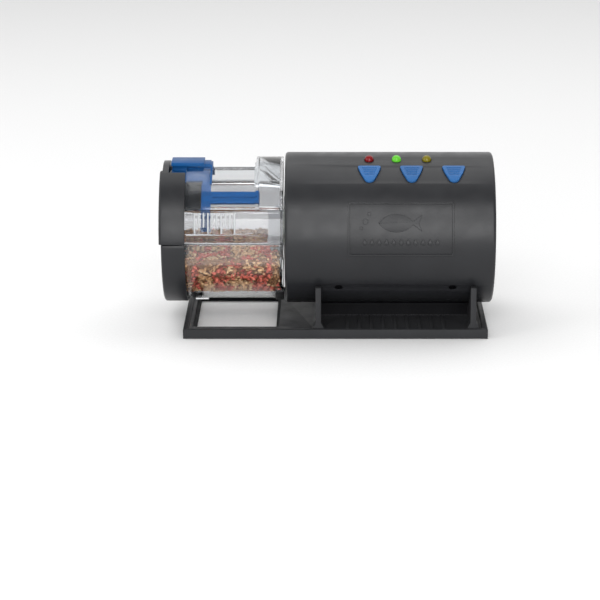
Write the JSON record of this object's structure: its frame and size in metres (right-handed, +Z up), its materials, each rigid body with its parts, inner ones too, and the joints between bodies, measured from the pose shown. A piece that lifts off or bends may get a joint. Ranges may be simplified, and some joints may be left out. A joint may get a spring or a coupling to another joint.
{
  "type": "automatic fish feeder",
  "caption": "Battery-powered aquarium feeder: a geared motor housing with timer buttons turns a clear feed drum with a dosing slider over a chute in its tray.",
  "frame": {"origin": "on the tray's underside, below the middle of the feeder's overall box", "axes": "+X along the drum's axis from the drum to the housing, -Y to the front, +Z up"},
  "size_m": [0.1442, 0.0672, 0.0751],
  "materials": {
    "tray": "satin",
    "housing": "satin",
    "cap": "satin",
    "inner_black": "matte",
    "natural_plastic": "satin",
    "brass": "satin",
    "steel": "satin",
    "motor_steel": "satin",
    "board": "satin",
    "chip": "matte",
    "lens_red": "gloss",
    "lens_green": "gloss",
    "lens_yellow": "gloss",
    "cell": "satin",
    "button_blue": "satin",
    "slider_blue": "gloss",
    "clear": "gloss",
    "feed": "matte"
  },
  "bodies": {
    "base": {"base_tray": "tray"},
    "housing": {"housing_shell": "housing", "badge": "housing", "drive_bulkhead": "inner_black", "bulkhead_screws": "steel", "hub_bushing": "brass", "gear_plate": "natural_plastic", "gear_pins": "steel", "gearbox_screws": "steel", "motor_can": "motor_steel", "motor_end_bell": "natural_plastic", "chassis_plate": "inner_black", "housing_screws": "steel", "control_board": "board", "tact_switches": "chip", "timer_chip": "chip", "led_red": "lens_red", "led_green": "lens_green", "led_yellow": "lens_yellow", "battery_holder": "inner_black", "battery_contacts": "steel", "battery_upper": "cell", "battery_lower": "cell"},
    "battery_door": {"battery_door": "housing"},
    "button_left": {"button_left": "button_blue"},
    "button_middle": {"button_middle": "button_blue"},
    "button_right": {"button_right": "button_blue"},
    "drive": {"drive_hub": "natural_plastic", "output_gear": "natural_plastic"},
    "gear_b": {"gear_b": "natural_plastic"},
    "gear_a": {"gear_a": "natural_plastic"},
    "motor_pinion": {"motor_pinion": "brass"},
    "drum": {"drum_trough": "clear", "drum_socket": "clear", "end_cap_lower": "cap", "drum_catch": "inner_black", "hinge_pins": "steel", "feed_fill": "feed"},
    "lid": {"drum_lid": "clear", "dosing_cover": "clear", "end_cap_upper": "cap"},
    "slider": {"dose_slider": "slider_blue"}
  },
  "joints": [
    {"name": "unit_lift", "type": "slide", "parent": "base", "child": "housing", "axis": [0, 0, 1], "range_m": [0, 0.05]},
    {"name": "drive_spin", "type": "hinge", "parent": "housing", "child": "drive", "pos_m": [-0.016, 0, 0.041], "axis": [1, 0, 0], "continuous": true},
    {"name": "gear_b_spin", "type": "hinge", "parent": "housing", "child": "gear_b", "pos_m": [-0.0115, 0, 0.0554], "axis": [1, 0, 0], "continuous": true},
    {"name": "gear_a_spin", "type": "hinge", "parent": "housing", "child": "gear_a", "pos_m": [-0.0085, -0.0125, 0.04824], "axis": [1, 0, 0], "continuous": true},
    {"name": "pinion_spin", "type": "hinge", "parent": "housing", "child": "motor_pinion", "pos_m": [-0.005, -0.008, 0.03456], "axis": [1, 0, 0], "continuous": true},
    {"name": "drum_pull", "type": "slide", "parent": "drive", "child": "drum", "axis": [-1, 0, 0], "range_m": [0, 0.03]},
    {"name": "lid_hinge", "type": "hinge", "parent": "drum", "child": "lid", "pos_m": [-0.04, 0.0312, 0.041], "axis": [-1, 0, 0], "range_deg": [0, 95]},
    {"name": "dose_slide", "type": "slide", "parent": "lid", "child": "slider", "axis": [1, 0, 0], "range_m": [0, 0.0075]},
    {"name": "press_left", "type": "slide", "parent": "housing", "child": "button_left", "axis": [0, 0.4384, -0.8988], "range_m": [0, 0.0008], "stiffness_N_per_m": 500, "springref_m": -0.0006},
    {"name": "press_middle", "type": "slide", "parent": "housing", "child": "button_middle", "axis": [0, 0.4384, -0.8988], "range_m": [0, 0.0008], "stiffness_N_per_m": 500, "springref_m": -0.0006},
    {"name": "press_right", "type": "slide", "parent": "housing", "child": "button_right", "axis": [0, 0.4384, -0.8988], "range_m": [0, 0.0008], "stiffness_N_per_m": 500, "springref_m": -0.0006},
    {"name": "door_off", "type": "slide", "parent": "housing", "child": "battery_door", "axis": [0, 1, 0], "range_m": [0, 0.03]}
  ],
  "couplings": [
    {"joint": "gear_b_spin", "follows": "drive_spin", "ratio": -3},
    {"joint": "gear_a_spin", "follows": "drive_spin", "ratio": 9},
    {"joint": "pinion_spin", "follows": "drive_spin", "ratio": -27}
  ]
}
